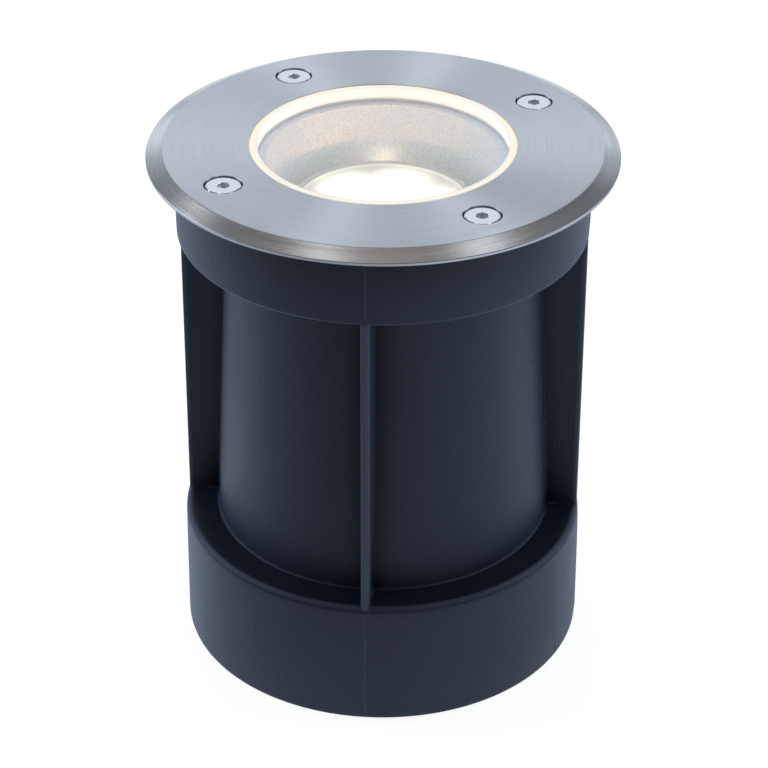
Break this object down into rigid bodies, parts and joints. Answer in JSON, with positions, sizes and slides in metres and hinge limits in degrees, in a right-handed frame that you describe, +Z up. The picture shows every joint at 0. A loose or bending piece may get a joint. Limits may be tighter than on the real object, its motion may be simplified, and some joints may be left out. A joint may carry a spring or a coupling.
{
  "type": "in ground well light",
  "caption": "Recessed in-ground uplight: steel trim ring and thick flush glass on a cast pot with a twist-lock lamp, seated in a ribbed plastic ground sleeve.",
  "frame": {"origin": "on the axis, in the plane of the ground sleeve's base", "axes": "+Z up along the axis, towards the glass; the ribs stand between the X and Y axes"},
  "size_m": [0.125, 0.125, 0.148],
  "materials": {
    "sleeve_plastic": "fine moulded texture",
    "trim_steel": "brushed on the flat, turned on the bevel",
    "screw_steel": "polished",
    "clear_glass": "clear, with a ground edge",
    "silicone": "translucent",
    "cast_aluminium": "as cast, fine grain",
    "brass": "machined",
    "lamp_paint": "satin",
    "bezel_aluminium": "satin",
    "lamp_optic": "lit diffuser",
    "light_board": "satin",
    "light_chip": "lit",
    "lamp_base_plastic": "satin",
    "nickel": "bright",
    "driver_laminate": "satin",
    "holder_ceramic": "unglazed",
    "zinc_steel": "zinc plated",
    "block_plastic": "satin",
    "brown_sheath": "satin",
    "blue_sheath": "satin",
    "earth_sheath": "satin",
    "gland_plastic": "satin",
    "seal_rubber": "matt"
  },
  "bodies": {
    "ground_sleeve": {"mounting_sleeve": "sleeve_plastic"},
    "luminaire": {"pot_housing": "cast_aluminium", "threaded_inserts": "brass", "lampholder": "holder_ceramic", "holder_contacts": "nickel", "holder_bracket": "zinc_steel", "bracket_screws": "zinc_steel", "holder_screws": "zinc_steel", "terminal_block": "block_plastic", "terminal_screws": "zinc_steel", "live_lead": "brown_sheath", "neutral_lead": "blue_sheath", "earth_lead": "earth_sheath", "earth_lug": "nickel", "earth_screw": "brass", "gland_body": "gland_plastic", "gland_washer": "seal_rubber", "gland_locknut": "gland_plastic", "gland_seal": "seal_rubber", "gland_cap": "gland_plastic"},
    "cover": {"trim_ring": "trim_steel", "cover_screws": "screw_steel", "glass": "clear_glass", "glass_gasket": "silicone"},
    "lamp": {"lamp_shell": "lamp_paint", "lamp_bezel": "bezel_aluminium", "lamp_lens": "lamp_optic", "lamp_base": "lamp_base_plastic", "lamp_pins": "nickel", "led_board": "light_board", "led_chips": "light_chip", "driver_board": "driver_laminate"}
  },
  "joints": [
    {"name": "luminaire_lift", "type": "slide", "parent": "ground_sleeve", "child": "luminaire", "axis": [0, 0, 1], "range_m": [0, 0.13]},
    {"name": "cover_lift", "type": "slide", "parent": "luminaire", "child": "cover", "axis": [0, 0, 1], "range_m": [0, 0.03]},
    {"name": "lamp_twist", "type": "hinge", "parent": "luminaire", "child": "lamp", "pos_m": [0, 0, 0.078], "axis": [0, 0, 1], "range_deg": [0, 30]}
  ]
}
